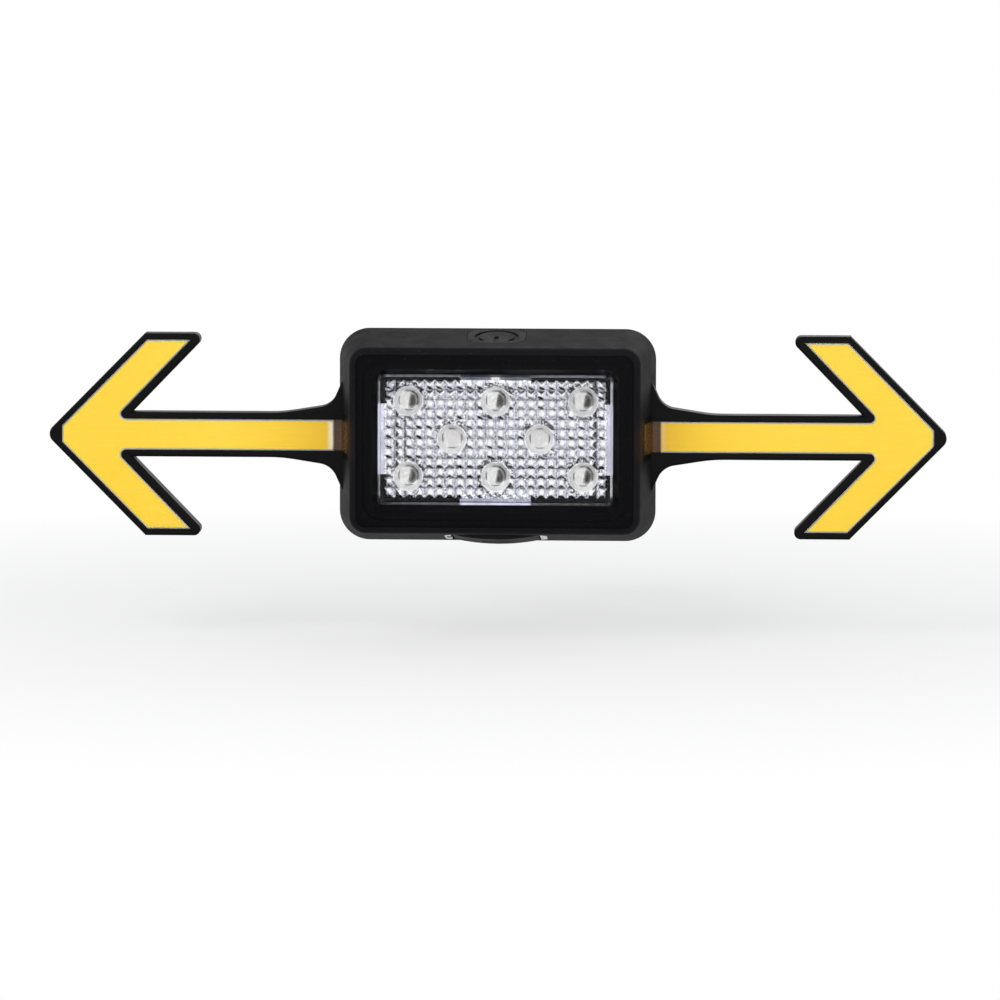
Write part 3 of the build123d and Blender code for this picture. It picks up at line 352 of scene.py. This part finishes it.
def reflector_bright(name):
    """Bright plating with painted light in its colour: painted shade in arcs over the cups, painted
    reflections on the duller tabs at the panel's edges, and cups painted white for the bright reflection in
    their plating.
    """
    g = Material(name)
    haze = g.noise(2.6, detail=4.0)
    fine = g.noise(0.16, detail=2.0)
    patch = g.noise(1.7, detail=2.0, rough=0.7)
    glitter = g.noise(0.42, detail=2.0, rough=0.6)
    tone = pyramid_painted_light(g, patch, glitter)

    reach = cup_distance(g)
    # Painted shade in arcs over the cups
    over = g.centred(g.axis(Z), CUP_Z * MM)
    above = g.math("MULTIPLY_ADD", g.spread(over, 0.05, 0.3), 0.10, patch)
    ring = g.spread(reach, (CUP_MOUTH + 1.2) * MM, (CUP_MOUTH + 0.7) * MM)
    arc_shade = g.math("MULTIPLY", ring, g.spread(above, 0.53, 0.59))
    tone = g.cover(tone, arc_shade, g.spread(glitter, 0.44, 0.54, 0.2, 0.95), (0.03, 0.03, 0.03))

    # The tabs' tones are painted reflections: lavender at the sides, dark on the top tab with a painted glint
    # in its middle, pale at the foot
    side_tab = g.math("GREATER_THAN", g.from_middle(X), PANEL_WIDTH / 2 * MM)
    tone = g.mix(side_tab, tone, g.mix(haze, (0.46, 0.46, 0.53), (0.62, 0.62, 0.73)))
    top_tab = g.math("GREATER_THAN", g.axis(Z), PANEL_HEIGHT / 2 * MM)
    glint = g.spread(g.from_middle(X), 1.1 * MM, 0.6 * MM)
    top_tab_shade = g.mix(patch, (0.05, 0.053, 0.065), (0.17, 0.18, 0.22))
    tone = g.mix(top_tab, tone, g.mix(glint, top_tab_shade, (0.55, 0.55, 0.50)))
    foot_tab = g.math("LESS_THAN", g.axis(Z), -PANEL_HEIGHT / 2 * MM)
    tone = g.mix(foot_tab, tone, g.mix(patch, (0.16, 0.16, 0.19), (0.60, 0.60, 0.74)))

    # The cups are painted white for the bright reflection in their chrome
    cup = g.spread(reach, (CUP_MOUTH + 0.05) * MM, (CUP_MOUTH - 0.1) * MM)
    rough = g.math("ADD", g.spread(haze, 0.3, 0.75, 0.06, 0.16), g.math("MULTIPLY", cup, 0.3))
    return g.finish(g.shader(
        Base_Color=g.mix(cup, tone, WHITE), Metallic=g.between(cup, 1.0, 0.4), Roughness=rough,
        Normal=g.bump(fine, 0.006, 0.35),
    ))


def lead_mark(g, mottle):
    """The dark right half of the six outer LEDs, where the die's lead shows, and its tone."""
    aside = g.math("MULTIPLY", g.centred(g.axis(X), CUP_X * MM), CUP_X)
    over = g.math("SUBTRACT", g.axis(Z), g.math("MULTIPLY", g.math("SIGN", g.axis(Z)), CUP_Z * MM))
    half = g.spread(g.math("MULTIPLY_ADD", over, -LEAD_SLANT / MM, aside), 0.0, 0.35)
    foot = g.spread(over, -1.1 * MM, -0.7 * MM)
    outer_rows = g.math("GREATER_THAN", g.from_middle(Z), CUP_Z / 2 * MM)
    tone = g.mix(g.spread(mottle, 0.42, 0.62), (0.010, 0.009, 0.007), (0.20, 0.19, 0.165))
    return g.fold("MULTIPLY", half, foot, outer_rows), tone


def led_white(name):
    """White bases with the dark lead, and painted shade that makes the middle row greyer."""
    g = Material(name)
    grain = g.noise(0.18, detail=3.0)
    mottle = g.noise(0.5, detail=3.0)
    tone = g.mix(g.spread(mottle, 0.35, 0.65), (0.80, 0.78, 0.77), (1.0, 0.995, 0.985))
    # Painted shade: the middle row's bases are greyer
    middle_row = g.math("LESS_THAN", g.from_middle(Z), CUP_Z / 2 * MM)
    tone = g.cover(tone, middle_row, 0.8, g.mix(mottle, (0.55, 0.53, 0.52), (0.84, 0.81, 0.80)))
    mark, lead_tone = lead_mark(g, mottle)
    return g.finish(g.shader(
        Base_Color=g.mix(mark, tone, lead_tone), Roughness=g.spread(grain, 0.3, 0.7, 0.26, 0.36),
        Normal=g.bump(grain, 0.008, 0.6), Specular_IOR_Level=0.2,
    ))


def led_clear(name):
    """Slightly milky clear epoxy, dark over the lead except in a thin ring at its foot."""
    g = Material(name)
    waves = g.noise(0.8, detail=2.0)
    mark, lead_tone = lead_mark(g, g.noise(0.5, detail=3.0))
    inner = g.spread(cup_distance(g), 1.50 * MM, 1.32 * MM)
    glass = g.shader(
        Base_Color=g.cover((0.99, 0.99, 0.985), g.math("MULTIPLY", mark, inner), 0.85, lead_tone),
        Roughness=0.03, Transmission_Weight=0.80, IOR=1.42, Specular_Tint=(0.5, 0.5, 0.5),
        Normal=g.bump(waves, 0.01, 0.2),
    )
    return g.see_through(glass, (0.99, 0.99, 0.985))


def guide_amber(name):
    """Tinted light guide: painted shade inside the housing's side, then a pale band of painted highlight at
    its end, then yellow to the tip.
    """
    g = Material(name)
    reach = g.spread(g.from_middle(X), GUIDE_ROOT * MM, GUIDE_TIP * MM)
    # Painted shade on the part inside the housing's side, then a painted highlight on the pale band
    tone = g.ramp(
        reach,
        (0.0, (0.030, 0.012, 0.003)),
        (GUIDE_ENTRY - 0.003, (0.058, 0.027, 0.009)),
        (GUIDE_ENTRY, (1.0, 0.90, 0.68)),
        (0.135, (1.0, 0.84, 0.50)),
        (GUIDE_HIGHLIGHT_END, (1.0, 0.61, 0.020)),
        (0.45, (1.0, 0.68, 0.050)),
        (0.80, (1.0, 0.66, 0.040)),
        (1.0, (1.0, 0.68, 0.048)),
    )
    # The right guide's band of painted highlight is weaker
    right_highlight_band = g.fold(
        "MULTIPLY",
        g.math("GREATER_THAN", reach, GUIDE_ENTRY - 0.001),
        g.math("LESS_THAN", reach, GUIDE_HIGHLIGHT_END),
        g.math("GREATER_THAN", g.axis(X), 0.0),
    )
    tone = g.cover(tone, right_highlight_band, 0.75, (1.0, 0.56, 0.025))
    tone = g.cover(tone, g.noise(9.0, detail=3.0), 0.10, (0.98, 0.44, 0.008))
    # Painted highlight along the bevelled edges
    facing = g.math("ABSOLUTE", g.facing(Y))
    edge = g.math("MULTIPLY", g.spread(facing, 0.45, 0.6), g.spread(facing, 0.95, 0.85))
    tone = g.cover(tone, edge, g.math("GREATER_THAN", reach, GUIDE_ENTRY), (1.0, 0.96, 0.78))
    fine = g.noise(0.7, detail=3.0)
    streak = g.noise(0.5, detail=2.0, vector=g.scaled((0.06, 1.0, 1.0)))
    return g.finish(g.shader(
        Base_Color=tone, Roughness=g.spread(streak, 0.3, 0.8, 0.2, 0.34), Normal=g.bump(fine, 0.012, 0.4),
        Subsurface_Weight=0.25, Subsurface_Radius=(0.0018, 0.0008, 0.0002), Subsurface_Scale=1.0,
        Coat_Weight=0.15, Coat_Roughness=0.08, Specular_IOR_Level=0.2,
    ))


def board(name, dark, light, track, specular=0.5, white_pads=False):
    """Solder resist with faint raised tracks under it, and white round the LEDs where asked."""
    g = Material(name)
    upright = g.scaled((1.0, 1.0, 1.0), (radians(90), 0.0, 0.0))
    tracks = g.add("ShaderNodeTexBrick", upright, Scale=420.0, Mortar_Size=0.03).outputs["Fac"]
    weave = g.noise(0.3, detail=2.0)
    tone = g.cover(g.mix(weave, dark, light), tracks, 0.5, track)
    if white_pads:
        tone = g.mix(g.spread(cup_distance(g), 2.3 * MM, 2.2 * MM), tone, (0.92, 0.92, 0.90))
    return g.finish(g.shader(
        Base_Color=tone, Roughness=g.spread(weave, 0.3, 0.7, 0.22, 0.4), Normal=g.bump(tracks, 0.03, 0.6),
        Specular_IOR_Level=specular,
    ))


def white_plastic(name, color):
    """Pale satin plastic that lets a little light in."""
    g = Material(name)
    grain = g.noise(0.18, detail=3.0)
    slow = g.noise(3.0, detail=3.0)
    return g.finish(g.shader(
        Base_Color=g.mix(slow, times(color, 0.93), color), Roughness=g.gloss(slow, 0.42, 0.05, 0.06),
        Normal=g.bump(grain, 0.008, 0.6), Subsurface_Weight=0.1, Subsurface_Radius=(0.001, 0.0009, 0.0008),
    ))


def pouch(name):
    """The cell's foil, creased and dimpled."""
    g = Material(name)
    folds = g.noise(5.0, detail=4.0, distortion=1.2)
    dimples = g.cells(1.1)
    return g.finish(g.shader(
        Base_Color=g.mix(folds, (0.62, 0.63, 0.65), (0.78, 0.79, 0.81)), Metallic=0.85,
        Roughness=g.spread(folds, 0.3, 0.7, 0.25, 0.42),
        Normal=g.bump(folds, 0.25, 0.5, g.bump(dimples, 0.03, 0.3)),
    ))


def foam(name):
    """Dark foam with pores."""
    g = Material(name)
    pores = g.cells(0.45)
    tone = g.ramp(pores, (0.1, (0.02, 0.02, 0.02)), (0.6, (0.09, 0.09, 0.09)))
    return g.finish(g.shader(Base_Color=tone, Roughness=0.9, Normal=g.bump(pores, 0.15, 0.9)))


def insulation(name):
    """The red cover of the battery's leads."""
    g = Material(name)
    grain = g.noise(0.2, detail=2.0)
    return g.finish(g.shader(
        Base_Color=g.mix(grain, (0.42, 0.012, 0.01), (0.6, 0.03, 0.02)),
        Roughness=g.spread(grain, 0.3, 0.7, 0.35, 0.5), Normal=g.bump(grain, 0.01, 0.5),
    ))


# How each slot's material is made
makers = {
    "housing_black": (moulded, dict(
        dark=(0.0065, 0.0065, 0.0075), light=(0.0105, 0.0105, 0.012), roughness=0.55,
        grain_mm=0.16, grain_depth=0.016, specular=0.03, glow=True,
    )),
    "bezel_black": (moulded, dict(
        dark=(0.0016, 0.0016, 0.0022), light=(0.0028, 0.0028, 0.0036), roughness=0.34,
        grain_mm=0.5, grain_depth=0.004, specular=0.03,
    )),
    "lens_clear": (lens_clear, {}),
    "seal_rubber": (rubber, dict(color=(0.012, 0.012, 0.012))),
    "reflector_bright": (reflector_bright, {}),
    "led_clear": (led_clear, {}),
    "led_white": (led_white, {}),
    "board_black": (board, dict(
        dark=(0.003, 0.003, 0.003), light=(0.005, 0.005, 0.005), track=(0.009, 0.009, 0.009),
        specular=0.05, white_pads=True,
    )),
    "fastener_steel": (steel, dict(color=(0.62, 0.61, 0.6), roughness=0.28, brush=(1.0, 1.0, 1.0))),
    "chip_black": (moulded, dict(
        dark=(0.022, 0.022, 0.023), light=(0.034, 0.034, 0.035), roughness=0.42,
        grain_mm=0.1, grain_depth=0.01,
    )),
    "board_green": (board, dict(
        dark=(0.012, 0.11, 0.04), light=(0.02, 0.16, 0.06), track=(0.04, 0.24, 0.10),
    )),
    "guide_amber": (guide_amber, {}),
    "frame_black": (moulded, dict(
        dark=(0.0022, 0.0022, 0.0024), light=(0.0040, 0.0040, 0.0043), roughness=0.40,
        grain_mm=0.3, grain_depth=0.006, specular=0.05,
    )),
    "button_rubber": (rubber, dict(
        color=(0.0058, 0.0058, 0.0066), roughness=0.58, grain_mm=0.14, sheen=0.0,
    )),
    "socket_metal": (steel, dict(color=(0.78, 0.77, 0.75), roughness=0.22, brush=(1.0, 1.0, 0.1))),
    "port_white": (white_plastic, dict(color=(0.82, 0.82, 0.80))),
    "battery_silver": (pouch, {}),
    "pad_foam": (foam, {}),
    "lead_red": (insulation, {}),
    "bracket_nylon": (moulded, dict(
        dark=(0.013, 0.013, 0.013), light=(0.022, 0.022, 0.022), roughness=0.56,
        grain_mm=0.24, grain_depth=0.03,
    )),
    "liner_rubber": (rubber, dict(color=(0.016, 0.016, 0.016), roughness=0.8, grain_mm=0.25, rib_mm=1.6)),
}
made = {slot: make(slot, **told) for slot, (make, told) in makers.items()}
for row in frame["record"]["subparts"]:
    node = nodes[row["node"]]
    node.data.materials.clear()
    node.data.materials.append(made[row["material_slot"]])


# Floor and light
def stage_material(name, tint):
    """A pale surface that keeps a shadow near the object and fades to plain white further out."""
    g = Material(name)
    tone = g.mix(g.noise(2.0, detail=2.0), times(tint, 0.985), tint)
    pale = g.shader(Base_Color=tone, Roughness=0.9, Specular_IOR_Level=0.1)
    white = g.add("ShaderNodeEmission", Color=WHITE, Strength=1.0)
    away = g.add("ShaderNodeVectorMath", g.coords, setting=("operation", "LENGTH")).outputs["Value"]
    fade = g.spread(away, 0.05, 0.22, 0.60, 1.0)
    seen = g.any_ray("Is Camera Ray", "Is Glossy Ray", "Is Transmission Ray")
    return g.finish(g.blend(g.math("MULTIPLY", fade, seen), pale, white))


# The lamp hangs clear of the floor, with room under it for the opened port cover
floor_drop = 18.0 * MM
floor_reach = 2.5
mesh = bpy.data.meshes.new("floor")
bm = bmesh.new()
bmesh.ops.create_grid(bm, x_segments=2, y_segments=2, size=floor_reach)
bm.to_mesh(mesh)
bm.free()
floor = bpy.data.objects.new("floor", mesh)
floor.location = (0, 0, cad_lo.z - floor_drop)
bpy.context.scene.collection.objects.link(floor)
floor.data.materials.append(stage_material("floor_pale", (0.9, 0.9, 0.9)))

# The surroundings: plain white where they are seen, and a dimmer, cooler light on the part
sky = Graph(bpy.data.worlds.new("studio"), "ShaderNodeOutputWorld")
lit = sky.add("ShaderNodeBackground", Color=(0.92, 0.94, 1.0), Strength=0.38)
plain = sky.add("ShaderNodeBackground", Color=WHITE, Strength=1.0)
seen = sky.any_ray("Is Camera Ray", "Is Transmission Ray", "Is Glossy Ray")
bpy.context.scene.world = sky.finish(sky.blend(seen, lit, plain))


def softbox(name, place, aim, width, height, power):
    light = bpy.data.lights.new(name, "AREA")
    light.shape = "RECTANGLE"
    light.size = width
    light.size_y = height
    light.energy = power
    item = bpy.data.objects.new(name, light)
    item.location = place
    item.rotation_euler = (Vector(aim) - Vector(place)).to_track_quat("-Z", "Y").to_euler()
    bpy.context.scene.collection.objects.link(item)


# Each softbox's place, width and height in metres, and its power in watts
middle = (cad_lo + cad_hi) / 2
for name, place, width, height, power in (
    ("key", (-0.40, -0.50, 0.50), 0.45, 0.45, 2.3),
    ("fill", (0.60, -0.55, 0.25), 0.35, 0.45, 1.4),
    ("front", (0.05, -0.95, 0.12), 0.5, 0.35, 2.0),
    ("top", (0.0, 0.10, 0.60), 0.8, 0.5, 0.1),
    ("back", (0.30, 0.75, 0.45), 0.7, 0.5, 1.3),
):
    softbox(name, place, middle, width, height, power)

# Camera: where it stands, how much one pixel covers at the lamp's rim, and where the lamp's middle lies
# in the picture, in pixels from the left and from the top
azimuth, elevation, roll = radians(2.4), radians(5.4), radians(0.12)
distance, scale = 1.25, 0.1885 * MM
picture = 1000.0
middle_x, middle_y = 495.0, 440.5
sensor = 36.0
rim_depth = 2.7 * MM
target = Vector((0.0, cad_lo.y + rim_depth, 0.0))
back = Vector((sin(azimuth) * cos(elevation), -cos(azimuth) * cos(elevation), sin(elevation)))
camera = bpy.data.cameras.new("camera")
camera.sensor_width = sensor
camera.lens = sensor * distance / (picture * scale)
camera.clip_start = 0.05
camera.clip_end = 20.0
camera.shift_x = (picture / 2 - middle_x) / picture
camera.shift_y = (middle_y - picture / 2) / picture
eye = bpy.data.objects.new("camera", camera)
eye.location = target + back * distance
eye.rotation_mode = "QUATERNION"
eye.rotation_quaternion = (-back).to_track_quat("-Z", "Y") @ Matrix.Rotation(roll, 3, "Z").to_quaternion()
bpy.context.scene.collection.objects.link(eye)
bpy.context.scene.camera = eye
bpy.context.scene.view_settings.view_transform = "Standard"
